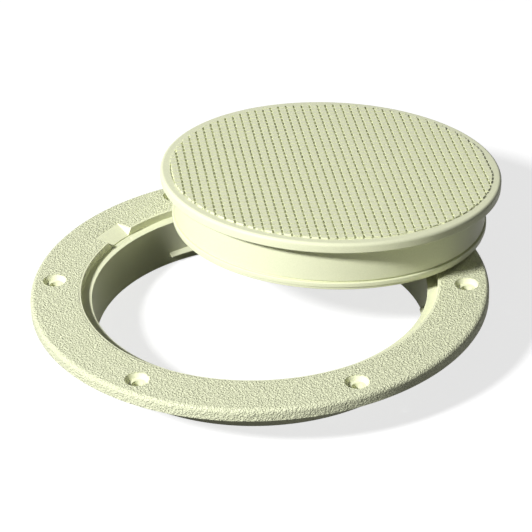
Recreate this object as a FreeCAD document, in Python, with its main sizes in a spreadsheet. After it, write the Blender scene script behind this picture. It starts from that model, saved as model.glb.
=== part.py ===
import FreeCAD, Part
import os
import Sketcher

# Pry-out deck inspection plate: a moulded ring that is screwed to a deck over a round
# cut-out, and the lid that is pressed into it, here taken off and laid across the ring.
# The Z axis is the ring's axis and z = 0 is the deck, under the flange. +X runs through
# a screw hole. Sizes are in millimetres and angles in degrees.

DOCUMENT = FreeCAD.newDocument("deck_inspection_plate")

# Driving dimensions
SIZES = {
    # ring
    "bore_radius": 74.5,
    "bore_draft": 0.9,
    "ledge_width": 4.55,
    "flange_width": 22.55,
    "flange_thickness": 5.6,
    "flange_edge_round": 2.0,
    "recess_depth": 3.6,
    "recess_edge_chamfer": 0.3,
    "collar_wall": 3.3,
    "collar_depth": 18.8,
    "collar_foot_chamfer": 0.8,
    # screw holes, each with a sunk seat for the screw's head
    "screw_count": 6,
    "screw_edge_distance": 10.0,
    "screw_hole_diameter": 4.8,
    "head_seat_diameter": 10.6,
    "head_seat_depth": 2.4,
    "head_seat_lean": 28,
    # snap lugs inside the collar
    "lug_count": 3,
    "lug_span_angle": 18,
    "lug_height": 1.9,
    "lug_lead_in": 1.4,
    "lug_overlap": 0.7,
    "lug_play": 0.2,
    # pry notch
    "notch_angle": 148.7,
    "notch_width": 17.0,
    "notch_length": 8.5,
    "notch_depth": 4.1,
    "notch_side_lean": 35,
    "notch_strip": 1.8,
    # lid
    "rim_gap": 0.95,
    "rim_thickness": 4.7,
    "rim_round": 1.5,
    "rim_underside_chamfer": 0.5,
    "lid_height": 25.2,
    "lid_plate": 3.2,
    "skirt_wall": 2.6,
    "bead_gap": 1.1,
    "bead_proud": 0.8,
    "bead_height": 3.3,
    "bead_ease": 0.4,
    "bead_groove_height": 0.7,
    "bead_groove_depth": 0.6,
    "foot_height": 1.2,
    "foot_step": 0.4,
    "foot_chamfer": 0.3,
    # stiffening ribs under the lid
    "rib_count": 6,
    "rib_thickness": 2.2,
    "rib_height": 6.5,
    "ring_rib_radius": 32.0,
    # tread: raised bars inside a lower, smooth border
    "border_width": 4.5,
    "tread_height": 0.7,
    "tread_pitch": 3.85,
    "tread_groove_width": 1.1,
    # how the loose lid lies on the ring
    "lid_azimuth": 62.8,
    "lid_balance_margin": 9.15,
    "lid_tilt": 4.55,
    "tilt_azimuth": 53.9,
    "tread_turn": 10.7,
    "rest_gap": 0.1,
    # how far a cutting shape runs past the face that it cuts
    "overrun": 1.0,
}

SHEET = DOCUMENT.addObject("Spreadsheet::Sheet", "sizes")
for row, (alias, number) in enumerate(SIZES.items(), 1):
    SHEET.set("A%d" % row, alias)
    SHEET.set("B%d" % row, str(number))
    SHEET.setAlias("B%d" % row, alias)
DOCUMENT.recompute()

# Sizes that follow from the driving ones, written as expressions over the sheet
RECESS_RADIUS = "(sizes.bore_radius + sizes.ledge_width)"
FLANGE_RADIUS = "(%s + sizes.flange_width)" % RECESS_RADIUS
SCREW_CIRCLE = "(%s - sizes.screw_edge_distance)" % FLANGE_RADIUS
COLLAR_RADIUS = "(sizes.bore_radius + sizes.collar_wall)"
RECESS_FLOOR = "(sizes.flange_thickness - sizes.recess_depth)"
BORE_FOOT = "(sizes.bore_radius - sizes.bore_draft)"
RIM_RADIUS = "(%s - sizes.rim_gap)" % RECESS_RADIUS
RIM_UNDERSIDE = "(sizes.lid_height - sizes.rim_thickness)"
BEAD_RADIUS = "(%s - sizes.bead_gap)" % BORE_FOOT
FOOT_RADIUS = "(%s - sizes.foot_step)" % BEAD_RADIUS
SKIRT_RADIUS = "(%s - sizes.bead_proud)" % BEAD_RADIUS
SKIRT_INSIDE = "(%s - sizes.skirt_wall)" % SKIRT_RADIUS
PLATE_UNDERSIDE = "(sizes.lid_height - sizes.lid_plate)"
TREAD_RADIUS = "(%s - sizes.border_width)" % RIM_RADIUS
TREAD_TOP = "(sizes.lid_height + sizes.tread_height)"


def cell(alias):
    """The number that the sheet holds under an alias."""
    return float(SHEET.get(alias))


def origin_feature(body, role):
    """One of a body's own origin planes or axes, such as XY_Plane."""
    for feature in body.Origin.OriginFeatures:
        if feature.Role == role:
            return feature
    raise ValueError("no origin feature with the role " + role)


def new_body(name):
    """A body whose label names its file."""
    body = DOCUMENT.addObject("PartDesign::Body", name)
    body.Label = name
    return body


def new_sketch(body, name, role):
    """A sketch on one of the body's origin planes."""
    sketch = body.newObject("Sketcher::SketchObject", name)
    sketch.AttachmentSupport = [(origin_feature(body, role), "")]
    sketch.MapMode = "FlatFace"
    return sketch


def place_start(sketch, line, label, across, up):
    """Tie a line's first point to two expressions, measured from the sketch's origin."""
    for kind, expression in (("DistanceX", across), ("DistanceY", up)):
        sketch.addConstraint(Sketcher.Constraint(kind, -1, 1, line, 1, 1.0))
        index = sketch.ConstraintCount - 1
        name = "%s_%s" % (label, kind[-1].lower())
        sketch.renameConstraint(index, name)
        sketch.setExpression("Constraints." + name, expression)


def draw_outline(sketch, corners):
    """A closed outline of straight lines through corners given as pairs of expressions."""
    count = len(corners)
    turn = FreeCAD.Rotation(FreeCAD.Vector(0, 0, 1), 360.0 / count)
    start = FreeCAD.Vector(cell("bore_radius"), 0, 0)
    for _ in corners:
        end = turn.multVec(start)
        sketch.addGeometry(Part.LineSegment(start, end), False)
        start = end
    for line in range(count):
        following = (line + 1) % count
        sketch.addConstraint(Sketcher.Constraint("Coincident", line, 2, following, 1))
    for line, (across, up) in enumerate(corners):
        place_start(sketch, line, "corner%d" % line, across, up)


def soft_corner(radius, height, size):
    """Three corners that round off an outer top corner in two flats."""
    bite = "%s * (1 - cos(45))" % size
    return [
        (radius, "%s - %s" % (height, size)),
        ("%s - %s" % (radius, bite), "%s - %s" % (height, bite)),
        ("%s - %s" % (radius, size), height),
    ]


def lift_sketch(sketch, expression):
    """Move a sketch along its plane's normal."""
    sketch.setExpression("AttachmentOffset.Base.z", expression)


def revolve(body, name, sketch):
    """Turn an outline once round the Z axis."""
    feature = body.newObject("PartDesign::Revolution", name)
    feature.Profile = sketch
    feature.ReferenceAxis = (sketch, ["V_Axis"])
    feature.Angle = 360.0
    sketch.Visibility = False
    return feature


def pattern_round(body, name, feature, count):
    """Repeat a feature evenly round the Z axis."""
    pattern = body.newObject("PartDesign::PolarPattern", name)
    pattern.Originals = [feature]
    pattern.Axis = (origin_feature(body, "Z_Axis"), [""])
    pattern.Angle = 360.0
    pattern.setExpression("Occurrences", count)
    body.Tip = pattern
    return pattern


def circle_edges(feature, places):
    """Names of the circular edges on the Z axis at the given radii and heights."""
    names = []
    for number, edge in enumerate(feature.Shape.Edges, 1):
        if not isinstance(edge.Curve, Part.Circle):
            continue
        for radius, height in places:
            same_radius = abs(edge.Curve.Radius - radius) < 0.01
            same_height = abs(edge.Curve.Center.z - height) < 0.01
            if same_radius and same_height:
                names.append("Edge%d" % number)
    return names


def bevel_edges(body, name, base, places, size):
    """Chamfer circular edges on the Z axis."""
    DOCUMENT.recompute()
    chamfer = body.newObject("PartDesign::Chamfer", name)
    chamfer.Base = (base, circle_edges(base, places))
    chamfer.setExpression("Size", size)
    return chamfer


# Ring blank: soft-edged flange, recess with the ledge for the lid's rim, and drafted
# collar in one turned outline
def ring_blank(body):
    sketch = new_sketch(body, "ring_outline", "XZ_Plane")
    draw_outline(sketch, [
        (COLLAR_RADIUS, "-sizes.collar_depth"),
        (COLLAR_RADIUS, "0"),
        (FLANGE_RADIUS, "0"),
        *soft_corner(FLANGE_RADIUS, "sizes.flange_thickness", "sizes.flange_edge_round"),
        (RECESS_RADIUS, "sizes.flange_thickness"),
        (RECESS_RADIUS, RECESS_FLOOR),
        ("sizes.bore_radius", RECESS_FLOOR),
        (BORE_FOOT, "-sizes.collar_depth"),
    ])
    return revolve(body, "ring_blank", sketch)


# Eased recess edge and the chamfered foot of the collar
def ring_edges(body, blank):
    top = cell("flange_thickness")
    foot = -cell("collar_depth")
    recess = cell("bore_radius") + cell("ledge_width")
    collar = cell("bore_radius") + cell("collar_wall")
    eased = bevel_edges(body, "recess_edge", blank, [(recess, top)],
                        "sizes.recess_edge_chamfer")
    return bevel_edges(body, "collar_foot", eased, [(collar, foot)],
                       "sizes.collar_foot_chamfer")


# Screw holes evenly round the flange: a leaning wall sinks to a flat seat for the
# screw's head, with the plain hole in its middle
def screw_holes(body):
    mouth = "sizes.head_seat_diameter / 2"
    hole = "sizes.screw_hole_diameter / 2"
    seat = mouth + " - sizes.head_seat_depth * tan(sizes.head_seat_lean)"
    seat_height = "sizes.flange_thickness - sizes.head_seat_depth"
    above = "sizes.flange_thickness + sizes.overrun"
    sketch = new_sketch(body, "screw_hole_outline", "XZ_Plane")
    sketch.setExpression("AttachmentOffset.Base.x", SCREW_CIRCLE)
    draw_outline(sketch, [
        ("0", above),
        ("0", "-sizes.overrun"),
        (hole, "-sizes.overrun"),
        (hole, seat_height),
        (seat, seat_height),
        (mouth, "sizes.flange_thickness"),
        (mouth, above),
    ])
    cut = body.newObject("PartDesign::Groove", "screw_hole")
    cut.Profile = sketch
    cut.ReferenceAxis = (sketch, ["V_Axis"])
    cut.Angle = 360.0
    sketch.Visibility = False
    DOCUMENT.recompute()
    return pattern_round(body, "screw_holes", cut, "sizes.screw_count")


# Snap lugs: short ledges inside the collar that the lid's bead springs past
def snap_lugs(body):
    seated_bead_top = "(%s - %s + sizes.bead_height)" % (RECESS_FLOOR, RIM_UNDERSIDE)
    lug_foot = "(%s + sizes.lug_play)" % seated_bead_top
    lug_top = "(%s + sizes.lug_height)" % lug_foot
    inner = "%s - sizes.lug_overlap" % BEAD_RADIUS
    inside_wall = "sizes.bore_radius + sizes.collar_wall / 2"
    sketch = new_sketch(body, "lug_outline", "XZ_Plane")
    draw_outline(sketch, [
        (inner, lug_foot),
        (inside_wall, lug_foot),
        (inside_wall, lug_top),
        (BORE_FOOT, lug_top),
        (inner, lug_top + " - sizes.lug_lead_in"),
    ])
    lug = revolve(body, "snap_lug", sketch)
    lug.setExpression("Angle", "sizes.lug_span_angle")
    lug.Midplane = True
    DOCUMENT.recompute()
    return pattern_round(body, "snap_lugs", lug, "sizes.lug_count")


# One upright cross-section of the pry notch, square to the notch's own radius
def notch_section(body, name, radius, depth):
    half = "sizes.notch_width / 2"
    lean = "tan(sizes.notch_side_lean)"
    half_floor = "(%s - %s * %s)" % (half, depth, lean)
    half_top = "(%s + sizes.overrun * %s)" % (half, lean)
    floor = "sizes.flange_thickness - " + depth
    top = "sizes.flange_thickness + sizes.overrun"
    sketch = new_sketch(body, name, "YZ_Plane")
    turn = FreeCAD.Rotation(FreeCAD.Vector(0, 1, 0), 1.0)
    sketch.AttachmentOffset = FreeCAD.Placement(FreeCAD.Vector(), turn)
    sketch.setExpression("AttachmentOffset.Rotation.Angle", "sizes.notch_angle")
    sketch.setExpression("AttachmentOffset.Base.x", radius + " * sin(sizes.notch_angle)")
    sketch.setExpression("AttachmentOffset.Base.z", radius + " * cos(sizes.notch_angle)")
    draw_outline(sketch, [
        ("-" + half_floor, floor),
        (half_floor, floor),
        (half_top, top),
        ("-" + half_top, top),
    ])
    return sketch


# Pry notch: a ramp with leaning sides from the flange's face down under the lid's rim,
# which leaves a narrow strip of the ledge in front of it
def pry_notch(body):
    inner = notch_section(body, "notch_inner", "(sizes.bore_radius + sizes.notch_strip)",
                          "sizes.notch_depth")
    outer = notch_section(body, "notch_outer", "(%s + sizes.notch_length)" % RECESS_RADIUS, "0")
    notch = body.newObject("PartDesign::SubtractiveLoft", "pry_notch")
    notch.Profile = inner
    notch.Sections = [outer]
    notch.Ruled = True
    return notch


# The whole ring, one moulding
def deck_ring():
    body = new_body("deck_ring")
    blank = ring_blank(body)
    ring_edges(body, blank)
    DOCUMENT.recompute()
    pry_notch(body)
    DOCUMENT.recompute()
    snap_lugs(body)
    DOCUMENT.recompute()
    screw_holes(body)
    return body


# Lid blank: plate with the raised tread field, overhanging soft-edged rim, skirt, snap
# bead between a fine groove and the narrower foot that leads it in, and the ring rib
def lid_blank(body):
    rib_inner = "sizes.ring_rib_radius - sizes.rib_thickness / 2"
    rib_outer = "sizes.ring_rib_radius + sizes.rib_thickness / 2"
    rib_foot = "%s - sizes.rib_height" % PLATE_UNDERSIDE
    groove_bottom = "%s - sizes.bead_groove_depth" % SKIRT_RADIUS
    groove_top = "sizes.bead_height + sizes.bead_groove_height"
    sketch = new_sketch(body, "lid_outline", "XZ_Plane")
    draw_outline(sketch, [
        ("0", TREAD_TOP),
        ("0", PLATE_UNDERSIDE),
        (rib_inner, PLATE_UNDERSIDE),
        (rib_inner, rib_foot),
        (rib_outer, rib_foot),
        (rib_outer, PLATE_UNDERSIDE),
        (SKIRT_INSIDE, PLATE_UNDERSIDE),
        (SKIRT_INSIDE, "0"),
        (FOOT_RADIUS, "0"),
        (FOOT_RADIUS, "sizes.foot_height"),
        (BEAD_RADIUS, "sizes.foot_height"),
        (BEAD_RADIUS, "sizes.bead_height - sizes.bead_ease"),
        (BEAD_RADIUS + " - sizes.bead_ease", "sizes.bead_height"),
        (groove_bottom, "sizes.bead_height"),
        (groove_bottom, groove_top),
        (SKIRT_RADIUS, groove_top),
        (SKIRT_RADIUS, RIM_UNDERSIDE),
        (RIM_RADIUS, RIM_UNDERSIDE),
        *soft_corner(RIM_RADIUS, "sizes.lid_height", "sizes.rim_round"),
        (TREAD_RADIUS, "sizes.lid_height"),
        (TREAD_RADIUS, TREAD_TOP),
    ])
    return revolve(body, "lid_blank", sketch)


# Eased underside of the rim and chamfered foot
def lid_edges(body, blank):
    rim = cell("bore_radius") + cell("ledge_width") - cell("rim_gap")
    foot = cell("bore_radius") - cell("bore_draft") - cell("bead_gap") - cell("foot_step")
    underside = cell("lid_height") - cell("rim_thickness")
    eased = bevel_edges(body, "rim_low_edge", blank, [(rim, underside)],
                        "sizes.rim_underside_chamfer")
    return bevel_edges(body, "foot_edge", eased, [(foot, 0)], "sizes.foot_chamfer")


# Radial ribs under the plate, from the centre into the skirt
def lid_ribs(body):
    sketch = new_sketch(body, "rib_outline", "XY_Plane")
    lift_sketch(sketch, "%s - sizes.rib_height" % PLATE_UNDERSIDE)
    into_skirt = "%s + sizes.skirt_wall / 2" % SKIRT_INSIDE
    draw_outline(sketch, [
        ("0", "-sizes.rib_thickness / 2"),
        (into_skirt, "-sizes.rib_thickness / 2"),
        (into_skirt, "sizes.rib_thickness / 2"),
        ("0", "sizes.rib_thickness / 2"),
    ])
    rib = body.newObject("PartDesign::Pad", "rib")
    rib.Profile = sketch
    rib.setExpression("Length", "sizes.rib_height + sizes.lid_plate / 2")
    DOCUMENT.recompute()
    return pattern_round(body, "ribs", rib, "sizes.rib_count")


# The lid's moulding before its tread is cut
def plain_lid():
    body = new_body("plain_lid")
    blank = lid_blank(body)
    lid_edges(body, blank)
    DOCUMENT.recompute()
    lid_ribs(body)
    return body


# Parallel bars across the whole top, one for each groove of the tread
def groove_bars():
    body = new_body("groove_bars")
    sketch = new_sketch(body, "bar_outline", "XY_Plane")
    lift_sketch(sketch, "sizes.lid_height")
    half_span = "floor(%s / sizes.tread_pitch) * sizes.tread_pitch" % TREAD_RADIUS
    draw_outline(sketch, [
        ("-%s - sizes.tread_groove_width / 2" % half_span, "-" + TREAD_RADIUS),
        ("-%s + sizes.tread_groove_width / 2" % half_span, "-" + TREAD_RADIUS),
        ("-%s + sizes.tread_groove_width / 2" % half_span, TREAD_RADIUS),
        ("-%s - sizes.tread_groove_width / 2" % half_span, TREAD_RADIUS),
    ])
    bar = body.newObject("PartDesign::Pad", "bar")
    bar.Profile = sketch
    bar.setExpression("Length", "sizes.tread_height + sizes.overrun")
    DOCUMENT.recompute()
    row = body.newObject("PartDesign::LinearPattern", "bars")
    row.Originals = [bar]
    row.Direction = (origin_feature(body, "X_Axis"), [""])
    row.setExpression("Length", "2 * " + half_span)
    row.setExpression("Occurrences", "2 * floor(%s / sizes.tread_pitch) + 1" % TREAD_RADIUS)
    body.Tip = row
    return body


# The finished lid, laid across the ring: it leans over the flange's outer edge and its
# foot rests beside that edge, with its middle a little inside the two points of rest
def deck_lid():
    lid = DOCUMENT.addObject("Part::Cut", "deck_lid")
    lid.Base = plain_lid()
    lid.Tool = groove_bars()
    lid.Label = "deck_lid"

    edge = "(%s - sizes.flange_edge_round)" % FLANGE_RADIUS
    offset = "(sqrt(%s ^ 2 - %s ^ 2) - sizes.lid_balance_margin)" % (edge, SKIRT_INSIDE)
    spread = "acos((%s ^ 2 - %s ^ 2 - %s ^ 2) / (2 * %s * %s))" % (
        edge, offset, SKIRT_INSIDE, offset, SKIRT_INSIDE)
    from_tilt = "(%s - (sizes.lid_azimuth - sizes.tilt_azimuth) * 1deg)" % spread
    rise = "%s * sin(sizes.lid_tilt) * cos(%s)" % (SKIRT_INSIDE, from_tilt)
    lean_axis = FreeCAD.Rotation(FreeCAD.Vector(0, 0, 1), cell("tilt_azimuth")).multVec(
        FreeCAD.Vector(0, 1, 0))
    lean = FreeCAD.Rotation(lean_axis, cell("lid_tilt"))
    turn = FreeCAD.Rotation(FreeCAD.Vector(0, 0, 1), cell("tread_turn"))
    lid.Placement = FreeCAD.Placement(FreeCAD.Vector(), lean.multiply(turn))
    lid.setExpression("Placement.Base.x", offset + " * cos(sizes.lid_azimuth)")
    lid.setExpression("Placement.Base.y", offset + " * sin(sizes.lid_azimuth)")
    lid.setExpression("Placement.Base.z",
                      "sizes.flange_thickness + sizes.rest_gap + " + rise)
    return lid


# Nothing is written unless every object is sound and every solid closed
def check_objects(parts):
    for item in DOCUMENT.Objects:
        if "Invalid" in item.State or "Error" in item.State:
            raise RuntimeError(item.Name + " failed to build")
    for item in parts:
        if item.Shape.isNull() or not item.Shape.isValid() or not item.Shape.Solids:
            raise RuntimeError(item.Label + " has no sound solid")


PARTS = [deck_ring(), deck_lid()]
DOCUMENT.recompute()
check_objects(PARTS)
os.makedirs("parts", exist_ok=True)
for sub_part in PARTS:
    sub_part.Shape.exportStep("parts/%s.step" % sub_part.Label)
    box = sub_part.Shape.BoundBox
    print("%s: %d solid, %.0f mm3, x %.1f to %.1f, y %.1f to %.1f, z %.1f to %.1f" % (
        sub_part.Label, len(sub_part.Shape.Solids), sub_part.Shape.Volume,
        box.XMin, box.XMax, box.YMin, box.YMax, box.ZMin, box.ZMax))
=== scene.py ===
# %% [markdown]
# # A pry-out deck inspection plate
# A boat's deck has a round cut-out, so that a hand can reach what is below. A moulded ring
# is screwed over the cut-out, and a lid is pressed into the ring. Here the lid has been
# pried out and laid across the back of the ring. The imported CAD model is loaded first. It
# fixes the size and the place of both mouldings, and everything made below stays inside it.

# %% Load the fixed frame
from math import atan2, cos, floor, pi, radians, sin, tau

import bmesh
import bpy
from mathutils import Matrix, Vector


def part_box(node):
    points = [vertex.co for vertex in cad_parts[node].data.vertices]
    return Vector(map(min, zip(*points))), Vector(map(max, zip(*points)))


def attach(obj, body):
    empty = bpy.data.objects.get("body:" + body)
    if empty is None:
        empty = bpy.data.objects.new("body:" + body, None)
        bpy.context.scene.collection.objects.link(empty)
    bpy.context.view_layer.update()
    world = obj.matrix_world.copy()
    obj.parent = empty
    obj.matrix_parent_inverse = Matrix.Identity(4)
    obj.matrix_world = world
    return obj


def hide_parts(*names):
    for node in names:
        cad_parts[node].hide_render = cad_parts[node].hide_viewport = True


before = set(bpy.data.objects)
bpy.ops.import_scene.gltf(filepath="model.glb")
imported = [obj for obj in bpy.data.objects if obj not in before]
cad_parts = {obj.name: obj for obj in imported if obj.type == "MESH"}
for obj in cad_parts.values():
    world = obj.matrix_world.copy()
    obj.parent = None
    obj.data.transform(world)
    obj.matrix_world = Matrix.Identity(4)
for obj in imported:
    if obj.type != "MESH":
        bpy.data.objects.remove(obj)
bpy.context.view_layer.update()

mm = 0.001

# %% [markdown]
# Each moulding could be drawn again from a list of numbers, but the frame already knows the
# ring's three main sizes: how wide the flange is, where its face lies and how deep the
# collar goes. Reading them keeps this file true to the CAD model when that changes.

# %% Read the ring's main sizes from the frame, in millimetres
ring_low, ring_high = (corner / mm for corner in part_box("deck_ring"))
flange_radius = ring_high.x
flange_top = ring_high.z
collar_foot = ring_low.z
print("flange radius %.1f, face at %.1f, collar foot at %.1f" % (flange_radius, flange_top, collar_foot))

# %% [markdown]
# The lid lies tilted and turned, so its own axes are needed before it can be modelled
# upright and then put in place. They could be typed in as angles. It is safer to measure
# them on the CAD solid: the flat top gives the axis, the round outline gives the centre, and
# the walls of the tread's grooves give the turn. A groove has a wall on each side, so its
# two normals are opposite, and doubling their angle makes the two agree.

# %% Measure how the lid lies
lid_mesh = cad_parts["deck_lid"].data
lid_points = [v.co / mm for v in lid_mesh.vertices]
lid_faces = [(p.normal.copy(), p.area) for p in lid_mesh.polygons]

lid_axis = Vector((0, 0, 1))
for tolerance in (0.98, 0.999):
    facing_up = [(n, a) for n, a in lid_faces if n.dot(lid_axis) > tolerance]
    lid_axis = sum((n * a for n, a in facing_up), Vector()).normalized()

side = lid_axis.cross(Vector((0, 1, 0))).normalized() * -1
front = lid_axis.cross(side)
centre, count = Vector(), 72
for i in range(count):
    way = side * cos(tau * i / count) + front * sin(tau * i / count)
    reach = [p.dot(way) for p in lid_points]
    centre += way * (max(reach) + min(reach)) / count
heights = [p.dot(lid_axis) for p in lid_points]
lid_height = max(heights) - min(heights)
lid_foot = centre + lid_axis * min(heights)
lid_radius = max((p - lid_foot - lid_axis * (p - lid_foot).dot(lid_axis)).length for p in lid_points)

double = Vector((0, 0))
for n, a in lid_faces:
    if abs(n.dot(lid_axis)) < 0.01:
        angle = 2 * atan2(n.dot(front), n.dot(side))
        double += Vector((cos(angle), sin(angle))) * a
turn = atan2(double.y, double.x) / 2
across = side * cos(turn) + front * sin(turn)
along = lid_axis.cross(across)
lid_place = Matrix.Translation(lid_foot) @ Matrix((across, along, lid_axis)).transposed().to_4x4()
print("lid radius %.2f, height %.2f, foot at %s" % (lid_radius, lid_height, tuple(round(x, 2) for x in lid_foot)))

# %% [markdown]
# Both mouldings are mostly turned shapes, as a lathe would make them. A turned shape starts
# as half of its cross-section, and Spin carries that round the axis. The corners of the
# section are vertices, and bevelling a vertex of a bare outline rounds the corner, which is
# the soft edge that a mould leaves. Each corner is a radius, a height and a rounding.

# %% A cross-section with rounded corners, spun round the Z axis
steps = 192


def spun(corners, closed, angle=tau, around=steps):
    bm = bmesh.new()
    verts = [bm.verts.new((radius, 0, height)) for radius, height, _ in corners]
    pairs = list(zip(verts, verts[1:])) + ([(verts[-1], verts[0])] if closed else [])
    for pair in pairs:
        bm.edges.new(pair)
    for vert, (_, _, rounding) in zip(verts, corners):
        if rounding:
            bmesh.ops.bevel(bm, geom=[vert], offset=rounding, offset_type="OFFSET", affect="VERTICES",
                            segments=5 if rounding > 1 else 3, profile=0.5, material=-1)
    full = angle == tau
    outline = bm.edges[:]
    bmesh.ops.spin(bm, geom=bm.verts[:] + outline, cent=(0, 0, 0), axis=(0, 0, 1), angle=angle,
                   steps=around, use_merge=full)
    bmesh.ops.remove_doubles(bm, verts=bm.verts[:], dist=0.001)
    if not full:
        bmesh.ops.holes_fill(bm, edges=[e for e in bm.edges if e.is_boundary], sides=0)
    bmesh.ops.recalc_face_normals(bm, faces=bm.faces[:])
    return bm


# %% [markdown]
# Holes and notches are cut with a second shape. A Boolean modifier compares the two solids,
# and its result is read back as a mesh, so that nothing depends on the cutter afterwards.

# %% Cut one mesh with another, or join them
def combined(base, tool, operation):
    objects = []
    for bm in (base, tool):
        mesh = bpy.data.meshes.new("working")
        bm.to_mesh(mesh)
        bm.free()
        objects.append(bpy.data.objects.new("working", mesh))
        bpy.context.scene.collection.objects.link(objects[-1])
    modifier = objects[0].modifiers.new("cut", "BOOLEAN")
    modifier.operation = operation
    modifier.solver = "EXACT"
    modifier.object = objects[1]
    result = bpy.data.meshes.new_from_object(objects[0].evaluated_get(bpy.context.evaluated_depsgraph_get()))
    bm = bmesh.new()
    bm.from_mesh(result)
    for mesh in (objects[0].data, objects[1].data, result):
        bpy.data.meshes.remove(mesh)
    return bm


# %% [markdown]
# A finished piece is a mesh whose place is in its vertices, in metres. Faces that meet at a
# shallow angle are shaded as one smooth surface, and steeper edges are marked sharp.
# Weighted Normal then lets each large flat face keep its own direction.

# %% Turn a working mesh into a finished piece
def finished(bm, name, body, node, material):
    bmesh.ops.scale(bm, vec=(mm, mm, mm), verts=bm.verts[:])
    for face in bm.faces:
        face.smooth = True
    for edge in bm.edges:
        edge.smooth = edge.is_manifold and edge.calc_face_angle(0) < radians(32)
    mesh = bpy.data.meshes.new(name)
    bm.to_mesh(mesh)
    bm.free()
    piece = bpy.data.objects.new(name, mesh)
    bpy.context.scene.collection.objects.link(piece)
    weighted = piece.modifiers.new("flat faces stay flat", "WEIGHTED_NORMAL")
    weighted.keep_sharp = True
    mesh.materials.append(material)
    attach(piece, body)
    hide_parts(node)
    print("%s: %d faces" % (name, len(mesh.polygons)))
    return piece


# %% [markdown]
# The ring is one moulding. From the outside in, its section has the flange's soft outer
# edge, the step down into the recess, the flat ledge that the lid's rim sits on, and the
# bore, which narrows a little so that the moulding leaves its mould.

# %% Turn the ring
recess_radius = 79.05
recess_floor = flange_top - 3.6
bore_radius = 74.5
bore_foot_radius = 73.6
collar_radius = 77.8

ring = spun([
    (collar_radius, collar_foot, 0.8),
    (collar_radius, 0, 0),
    (flange_radius, 0, 0.3),
    (flange_radius, flange_top, 2.0),
    (recess_radius, flange_top, 0.35),
    (recess_radius, recess_floor, 0.2),
    (bore_radius, recess_floor, 0.2),
    (bore_foot_radius, collar_foot, 0.2),
], closed=True)
print("ring section spun into %d faces" % len(ring.faces))

# %% [markdown]
# Six screws hold the ring. A leaning wall sinks from the flange's face to a flat seat for
# the screw's head, with the plain hole in its middle. The cutter for that is itself a small
# turned shape, repeated round the screw circle.

# %% Sink the screw holes
screw_circle = 91.6
hole_radius = 2.4
mouth_radius = 5.3
seat_radius = 4.02
seat_height = flange_top - 2.4
above = 1.0

for i in range(6):
    drill = spun([
        (0, -above, 0),
        (hole_radius, -above, 0),
        (hole_radius, seat_height, 0),
        (seat_radius, seat_height, 0.3),
        (mouth_radius, flange_top, 0),
        (mouth_radius, flange_top + above, 0),
        (0, flange_top + above, 0),
    ], closed=False, around=48)
    bmesh.ops.translate(drill, vec=(screw_circle, 0, 0), verts=drill.verts[:])
    bmesh.ops.rotate(drill, cent=(0, 0, 0), matrix=Matrix.Rotation(tau * i / 6, 3, "Z"), verts=drill.verts[:])
    ring = combined(ring, drill, "DIFFERENCE")
print("%d faces after the screw holes" % len(ring.faces))

# %% [markdown]
# A blade goes under the lid's rim at the notch. Its floor runs down from the flange's face
# to below the recess, between two leaning sides. The cutter is a deep end and a shallow end,
# joined with Bridge Loops and closed with Holes Fill.

# %% Cut the pry notch
notch_angle = radians(148.7)
notch_half_width = 8.5
notch_depth = 4.1
notch_length = 8.5
side_lean = 0.7


def notch_end(bm, radius, depth):
    bottom = flange_top - depth
    low = notch_half_width - depth * side_lean
    high = notch_half_width + above * side_lean
    places = [(radius, -low, bottom), (radius, low, bottom),
              (radius, high, flange_top + above), (radius, -high, flange_top + above)]
    verts = [bm.verts.new(place) for place in places]
    return [bm.edges.new((verts[i], verts[(i + 1) % 4])) for i in range(4)]


notch = bmesh.new()
deep_end = notch_end(notch, bore_radius + 1.8, notch_depth)
shallow_end = notch_end(notch, recess_radius + notch_length, 0)
bmesh.ops.bridge_loops(notch, edges=deep_end + shallow_end)
bmesh.ops.holes_fill(notch, edges=notch.edges[:], sides=4)
bmesh.ops.recalc_face_normals(notch, faces=notch.faces[:])
bmesh.ops.rotate(notch, cent=(0, 0, 0), matrix=Matrix.Rotation(notch_angle, 3, "Z"), verts=notch.verts[:])
ring = combined(ring, notch, "DIFFERENCE")
print("%d faces after the pry notch" % len(ring.faces))

# %% [markdown]
# Inside the collar three short ledges stand out from the wall. The lid's bead springs past
# them and they hold it down. A ledge is a part of a turn, so Spin makes it too.

# %% Add the snap lugs
lug_reach = 71.8
lug_foot = -15.0
lug_top = lug_foot + 1.9
lug_span = radians(18)

for i in range(3):
    lug = spun([
        (lug_reach, lug_foot, 0.15),
        (bore_radius + 1.5, lug_foot, 0),
        (bore_radius + 1.5, lug_top, 0),
        (bore_foot_radius, lug_top, 0),
        (lug_reach, lug_top - 1.4, 0.15),
    ], closed=True, angle=lug_span, around=12)
    bmesh.ops.rotate(lug, cent=(0, 0, 0), matrix=Matrix.Rotation(tau * i / 3 - lug_span / 2, 3, "Z"),
                     verts=lug.verts[:])
    ring = combined(ring, lug, "UNION")
print("%d faces after the lugs" % len(ring.faces))

# %% [markdown]
# The lid is a shallow cap. Its rim overhangs the skirt and sits on the ring's ledge. Low on
# the skirt a bead snaps behind the lugs, between a fine groove over it and the narrower
# foot that leads it in. The section stays open at the top and underneath, and both holes
# are filled with one flat face each.

# %% Turn the lid
tread_radius = lid_radius - 4.5
tread_height = 0.7
border_top = lid_height - tread_height
rim_underside = border_top - 4.7
bead_radius = bore_foot_radius - 1.1
bead_top = 3.3
foot_radius = bead_radius - 0.4
foot_height = 1.2
skirt_radius = bead_radius - 0.8
groove_top = bead_top + 0.7
skirt_inside = skirt_radius - 2.6
plate_underside = border_top - 3.2
rib_foot = plate_underside - 6.5
ring_rib = 32.0
rib_half = 1.1

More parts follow.
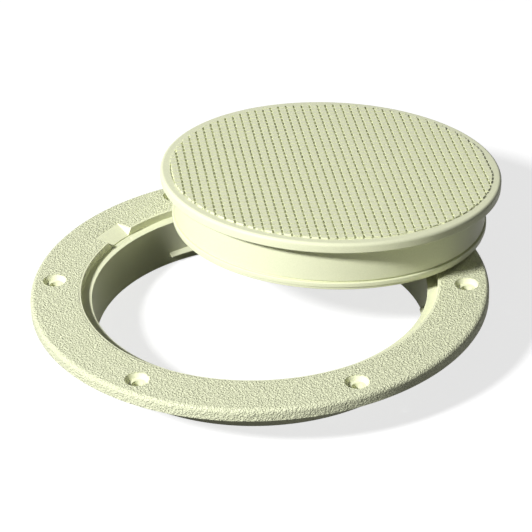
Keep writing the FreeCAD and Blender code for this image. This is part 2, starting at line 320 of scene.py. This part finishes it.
lid = spun([
    (ring_rib - rib_half, plate_underside, 0),
    (ring_rib - rib_half, rib_foot, 0.2),
    (ring_rib + rib_half, rib_foot, 0.2),
    (ring_rib + rib_half, plate_underside, 0),
    (skirt_inside, plate_underside, 0.4),
    (skirt_inside, 0, 0.2),
    (foot_radius, 0, 0.3),
    (foot_radius, foot_height, 0),
    (bead_radius, foot_height, 0.25),
    (bead_radius, bead_top, 0.4),
    (skirt_radius - 0.6, bead_top, 0),
    (skirt_radius - 0.6, groove_top, 0),
    (skirt_radius, groove_top, 0.15),
    (skirt_radius, rim_underside, 0.3),
    (lid_radius, rim_underside, 0.6),
    (lid_radius, border_top, 1.5),
    (tread_radius, border_top, 0),
], closed=False)
bmesh.ops.holes_fill(lid, edges=[e for e in lid.edges if e.is_boundary], sides=0)
bmesh.ops.recalc_face_normals(lid, faces=lid.faces[:])
print("lid section spun into %d faces" % len(lid.faces))

# %% [markdown]
# Six radial ribs stiffen the plate underneath. Three bars across the whole lid make them,
# each a stretched cube, and they end inside the skirt's wall.

# %% Add the ribs
for i in range(3):
    rib = bmesh.new()
    bmesh.ops.create_cube(rib, size=1)
    bmesh.ops.scale(rib, vec=(2 * skirt_inside + 2, 2 * rib_half, plate_underside - rib_foot + 1.5), verts=rib.verts[:])
    bmesh.ops.translate(rib, vec=(0, 0, (rib_foot + plate_underside + 1.5) / 2), verts=rib.verts[:])
    bmesh.ops.rotate(rib, cent=(0, 0, 0), matrix=Matrix.Rotation(tau * i / 6, 3, "Z"), verts=rib.verts[:])
    lid = combined(lid, rib, "UNION")
print("%d faces after the ribs" % len(lid.faces))

# %% [markdown]
# The tread keeps a wet foot from slipping. Small square studs stand up inside a smooth
# border, with two sets of narrow grooves between them. Placing a thousand boxes would leave
# seams, so the one flat face on top is sliced with Bisect Plane along both sides of every
# groove. The slices between the grooves are then extruded up together and become the studs,
# and the grooves are extruded down a little, because narrow grooves show dark by their depth.

# %% Slice the top face along the grooves
tread_pitch = 3.85
groove_width = 1.1

top_face = max((f for f in lid.faces if f.normal.z > 0.99), key=lambda f: f.calc_area())
tread = [top_face]
lines = floor(tread_radius / tread_pitch)
for normal in (Vector((1, 0, 0)), Vector((0, 1, 0))):
    for line in range(-lines, lines + 1):
        for edge_side in (-0.5, 0.5):
            at = normal * (line * tread_pitch + edge_side * groove_width)
            at.z = border_top
            geom = tread + list({e for f in tread for e in f.edges}) + list({v for f in tread for v in f.verts})
            cut = bmesh.ops.bisect_plane(lid, geom=geom, dist=0.0001, plane_co=at, plane_no=normal)
            tread = [g for g in cut["geom"] if isinstance(g, bmesh.types.BMFace)]
print("%d faces in the sliced tread" % len(tread))

# %% Raise the studs and sink the grooves
groove_sink = 0.35


def off_line(value):
    return abs((value / tread_pitch + 0.5) % 1 - 0.5) * tread_pitch


def in_groove(face):
    middle = face.calc_center_median()
    return min(off_line(middle.x), off_line(middle.y)) < groove_width / 2


def moved_up(bm, faces, distance):
    moved = bmesh.ops.extrude_face_region(bm, geom=faces)
    bmesh.ops.translate(bm, vec=(0, 0, distance),
                        verts=[g for g in moved["geom"] if isinstance(g, bmesh.types.BMVert)])
    bmesh.ops.delete(bm, geom=faces, context="FACES")


studs = [f for f in tread if not in_groove(f)]
grooves = [f for f in tread if in_groove(f)]
moved_up(lid, studs, tread_height)
moved_up(lid, grooves, -groove_sink)
bmesh.ops.recalc_face_normals(lid, faces=lid.faces[:])
print("%d studs, %d faces in the whole lid" % (len(studs), len(lid.faces)))

# %% [markdown]
# Both mouldings are the same clean cream plastic. Its colour is never quite even, so a node
# group shared by both materials lays soft noise over it. Dark areas are mostly shade, left to
# the form and the lamps; only the pits of the grain take a little painted shade.

# %% A node group for the uneven tint of moulded plastic
def new_group(name, inputs, outputs):
    group = bpy.data.node_groups.new(name, "ShaderNodeTree")
    for socket_name, kind, value in inputs:
        socket = group.interface.new_socket(socket_name, in_out="INPUT", socket_type=kind)
        if value is not None:
            socket.default_value = value
    for socket_name, kind in outputs:
        group.interface.new_socket(socket_name, in_out="OUTPUT", socket_type=kind)
    nodes = group.nodes
    return group, nodes, group.links.new, nodes.new("NodeGroupInput"), nodes.new("NodeGroupOutput")


def noise(nodes, size_mm, detail):
    node = nodes.new("ShaderNodeTexNoise")
    node.inputs["Scale"].default_value = 1 / (size_mm * mm)
    node.inputs["Detail"].default_value = detail
    return node


tint_group, nodes, link, given, made = new_group(
    "moulded tint",
    [("Place", "NodeSocketVector", None), ("Unevenness", "NodeSocketFloat", 0.3),
     ("Colour", "NodeSocketColor", (0.7, 0.7, 0.5, 1)), ("Low Colour", "NodeSocketColor", (0.6, 0.6, 0.4, 1))],
    [("Colour", "NodeSocketColor")])
cloud = noise(nodes, 35, 3)
share = nodes.new("ShaderNodeMath")
share.operation = "MULTIPLY"
link(given.outputs["Place"], cloud.inputs["Vector"])
link(cloud.outputs["Fac"], share.inputs[0])
link(given.outputs["Unevenness"], share.inputs[1])
blend = nodes.new("ShaderNodeMix")
blend.data_type = "RGBA"
link(share.outputs[0], blend.inputs["Factor"])
link(given.outputs["Colour"], blend.inputs["A"])
link(given.outputs["Low Colour"], blend.inputs["B"])
link(blend.outputs["Result"], made.inputs["Colour"])

# %% [markdown]
# The flange has a pebble grain that hides scratches and gives grip. It is far too fine to
# model, so a bump stands in for it: a fine, slightly distorted Noise texture, stretched to
# full contrast. Its low spots also take a little of the lower tint, which is painted shade in
# the pits of the grain. The same group serves the lid with a much finer, flatter grain.

# %% A node group for the pebble grain and the painted shade in its pits
grain_and_pit_shade_group, nodes, link, given, made = new_group(
    "pebble grain",
    [("Place", "NodeSocketVector", None), ("Pebble Scale", "NodeSocketFloat", 700.0),
     ("Amount", "NodeSocketFloat", 1.0)],
    [("Height", "NodeSocketFloat"), ("Painted Pit Shade", "NodeSocketFloat")])
pebbles = nodes.new("ShaderNodeTexNoise")
pebbles.inputs["Detail"].default_value = 1.5
pebbles.inputs["Distortion"].default_value = 0.6
spread = nodes.new("ShaderNodeMapRange")
spread.inputs["From Min"].default_value = 0.35
spread.inputs["From Max"].default_value = 0.65
scaled = nodes.new("ShaderNodeMath")
scaled.operation = "MULTIPLY"
# Painted shade: the grain's low spots give the share of lower tint that darkens its pits.
pit_shade_amount = nodes.new("ShaderNodeMath")
pit_shade_amount.operation = "SUBTRACT"
link(given.outputs["Place"], pebbles.inputs["Vector"])
link(given.outputs["Pebble Scale"], pebbles.inputs["Scale"])
link(pebbles.outputs["Fac"], spread.inputs["Value"])
link(spread.outputs["Result"], scaled.inputs[0])
link(given.outputs["Amount"], scaled.inputs[1])
link(scaled.outputs[0], made.inputs["Height"])
link(given.outputs["Amount"], pit_shade_amount.inputs[0])
link(scaled.outputs[0], pit_shade_amount.inputs[1])
link(pit_shade_amount.outputs[0], made.inputs["Painted Pit Shade"])

# %% [markdown]
# A material joins the groups to one Principled shader. Grain belongs only on the flange's
# face and outer edge, so the ring's material works out from each point's place how far it
# is from the axis and how high it lies.

# %% The plastic of both mouldings
cream = (0.80, 0.82, 0.585, 1)
# The lower tint serves both the uneven tone and the painted shade in the grain's pits.
cream_low_and_pit_shade = (0.72, 0.75, 0.51, 1)


def plastic(name, roughness, pebble_scale, bump_distance):
    material = bpy.data.materials.new(name)
    material.use_nodes = True
    nodes, link = material.node_tree.nodes, material.node_tree.links.new
    shader = nodes["Principled BSDF"]
    shader.inputs["Roughness"].default_value = roughness
    shader.inputs["Specular IOR Level"].default_value = 0.12
    place = nodes.new("ShaderNodeTexCoord").outputs["Object"]
    tint = nodes.new("ShaderNodeGroup")
    tint.node_tree = tint_group
    tint.inputs["Colour"].default_value = cream
    tint.inputs["Low Colour"].default_value = cream_low_and_pit_shade
    grain = nodes.new("ShaderNodeGroup")
    grain.node_tree = grain_and_pit_shade_group
    grain.inputs["Pebble Scale"].default_value = pebble_scale
    bump = nodes.new("ShaderNodeBump")
    bump.inputs["Distance"].default_value = bump_distance * mm
    # Painted shade: the pits of the grain are darkened towards the lower tint.
    shade = nodes.new("ShaderNodeMix")
    shade.data_type = "RGBA"
    shade.inputs["B"].default_value = cream_low_and_pit_shade
    link(place, tint.inputs["Place"])
    link(place, grain.inputs["Place"])
    link(grain.outputs["Height"], bump.inputs["Height"])
    link(bump.outputs["Normal"], shader.inputs["Normal"])
    link(grain.outputs["Painted Pit Shade"], shade.inputs["Factor"])
    link(tint.outputs["Colour"], shade.inputs["A"])
    link(shade.outputs["Result"], shader.inputs["Base Color"])
    return material, nodes, link, place, grain


def soft_step(nodes, link, value, low, high):
    node = nodes.new("ShaderNodeMapRange")
    node.interpolation_type = "SMOOTHSTEP"
    node.inputs["From Min"].default_value = low * mm
    node.inputs["From Max"].default_value = high * mm
    link(value, node.inputs["Value"])
    return node.outputs["Result"]


def joined(nodes, link, operation, a, b):
    node = nodes.new("ShaderNodeMath")
    node.operation = operation
    link(a, node.inputs[0])
    link(b, node.inputs[1])
    return node.outputs[0]


ring_plastic, nodes, link, place, grain = plastic("ring plastic", 0.5, 1200, 0.38)
flat = nodes.new("ShaderNodeVectorMath")
flat.operation = "MULTIPLY"
flat.inputs[1].default_value = (1, 1, 0)
away = nodes.new("ShaderNodeVectorMath")
away.operation = "LENGTH"
height = nodes.new("ShaderNodeSeparateXYZ")
link(place, flat.inputs[0])
link(flat.outputs[0], away.inputs[0])
link(place, height.inputs[0])
on_face = soft_step(nodes, link, height.outputs["Z"], flange_top - 0.35, flange_top - 0.1)
on_edge = soft_step(nodes, link, away.outputs["Value"], flange_radius - 2.2, flange_radius - 1.4)
off_recess = soft_step(nodes, link, away.outputs["Value"], recess_radius + 0.6, recess_radius + 1.4)
link(joined(nodes, link, "MULTIPLY", joined(nodes, link, "MAXIMUM", on_face, on_edge), off_recess),
     grain.inputs["Amount"])

lid_plastic, nodes, link, place, grain = plastic("lid plastic", 0.42, 1600, 0.02)
grain.inputs["Amount"].default_value = 0.5

# %% Finish the ring and the lid
ring_piece = finished(ring, "ring_moulding", "ring", "deck_ring", ring_plastic)
bmesh.ops.transform(lid, matrix=lid_place, verts=lid.verts[:])
lid_piece = finished(lid, "lid_moulding", "lid", "deck_lid", lid_plastic)

# %% [markdown]
# The plate stands on a pale floor. The floor is white to the camera and keeps a light
# shadow, but the light that it throws back on the plastic stays moderate, so that the
# recess and the bore keep their depth.

# %% Floor and surroundings
def looked_at(nodes, link):
    rays = nodes.new("ShaderNodeLightPath").outputs
    mirrored = joined(nodes, link, "MAXIMUM", rays["Is Glossy Ray"], rays["Is Transmission Ray"])
    return joined(nodes, link, "MAXIMUM", rays["Is Camera Ray"], mirrored)


floor_bm = bmesh.new()
bmesh.ops.create_grid(floor_bm, x_segments=1, y_segments=1, size=4)
bmesh.ops.translate(floor_bm, vec=(0, 0, (collar_foot - 0.05) * mm), verts=floor_bm.verts[:])
floor_mesh = bpy.data.meshes.new("floor")
floor_bm.to_mesh(floor_mesh)
floor_bm.free()
ground = bpy.data.objects.new("floor", floor_mesh)
bpy.context.scene.collection.objects.link(ground)

paper = bpy.data.materials.new("floor paper")
paper.use_nodes = True
nodes, link = paper.node_tree.nodes, paper.node_tree.links.new
shader = nodes["Principled BSDF"]
shader.inputs["Roughness"].default_value = 0.9
shader.inputs["Specular IOR Level"].default_value = 0.0
shown = looked_at(nodes, link)
tone = nodes.new("ShaderNodeMix")
tone.data_type = "RGBA"
tone.inputs["A"].default_value = (0.04, 0.04, 0.04, 1)
tone.inputs["B"].default_value = (0.35, 0.35, 0.35, 1)
link(shown, tone.inputs["Factor"])
link(tone.outputs["Result"], shader.inputs["Base Color"])
shader.inputs["Emission Color"].default_value = (1, 1, 1, 1)
glow = nodes.new("ShaderNodeMath")
glow.operation = "MULTIPLY"
glow.inputs[1].default_value = 0.75
link(shown, glow.inputs[0])
link(glow.outputs[0], shader.inputs["Emission Strength"])
floor_mesh.materials.append(paper)

world = bpy.data.worlds.new("studio")
world.use_nodes = True
bpy.context.scene.world = world
nodes, link = world.node_tree.nodes, world.node_tree.links.new
tone = nodes.new("ShaderNodeMix")
tone.data_type = "RGBA"
tone.inputs["A"].default_value = (0.06, 0.06, 0.06, 1)
tone.inputs["B"].default_value = (1, 1, 1, 1)
link(looked_at(nodes, link), tone.inputs["Factor"])
link(tone.outputs["Result"], nodes["Background"].inputs["Color"])

# %% [markdown]
# A bright lamp stands to the left and in front, rather high. It lights the tops, throws the
# lid's shadow to the back right and leaves the left of the recess and of the bore in shade.
# A weak one stands low at the right, so that the lid's skirt keeps its form there.

# %% Lamps
def add_lamp(name, azimuth, elevation, distance, size, energy):
    lamp = bpy.data.objects.new(name, bpy.data.lights.new(name, "AREA"))
    lamp.data.shape = "DISK"
    lamp.data.size = size
    lamp.data.energy = energy
    turn, lift = radians(azimuth), radians(elevation)
    way = Vector((cos(turn) * cos(lift), sin(turn) * cos(lift), sin(lift)))
    lamp.location = way * distance
    lamp.rotation_euler = way.to_track_quat("Z", "Y").to_euler()
    bpy.context.scene.collection.objects.link(lamp)


add_lamp("key lamp", azimuth=220.6, elevation=37, distance=2.6, size=0.37, energy=104)
add_lamp("low fill", azimuth=308, elevation=1, distance=1.4, size=0.14, energy=1.6)

# %% [markdown]
# The camera is a long lens a metre away, looking down on the plate. It is placed from where
# the ring's centre falls in the picture: turned round the ring, pitched down, rolled a
# little, and shifted sideways and up across its own view.

# %% Camera
image_width = 532
focal_pixels = 2358.292
camera_turn = radians(4.63)
camera_pitch = 0.5323119
camera_roll = -0.0330738
centre_in_view = Vector((-2.925633, -7.110958, -1046.47516))

camera = bpy.data.objects.new("camera", bpy.data.cameras.new("camera"))
camera.data.sensor_width = 36
camera.data.lens = focal_pixels * camera.data.sensor_width / image_width
looking = (Matrix.Rotation(camera_turn, 4, "Z") @ Matrix.Rotation(pi / 2 - camera_pitch, 4, "X")
           @ Matrix.Rotation(camera_roll, 4, "Z"))
ring_centre = Vector((0, 0, flange_top))
location = ring_centre - looking @ centre_in_view
camera.matrix_world = Matrix.Translation(location * mm) @ looking
bpy.context.scene.collection.objects.link(camera)
bpy.context.scene.camera = camera
bpy.context.scene.view_settings.view_transform = "Standard"
print("camera %.3f m from the ring's centre" % ((location - ring_centre).length * mm))
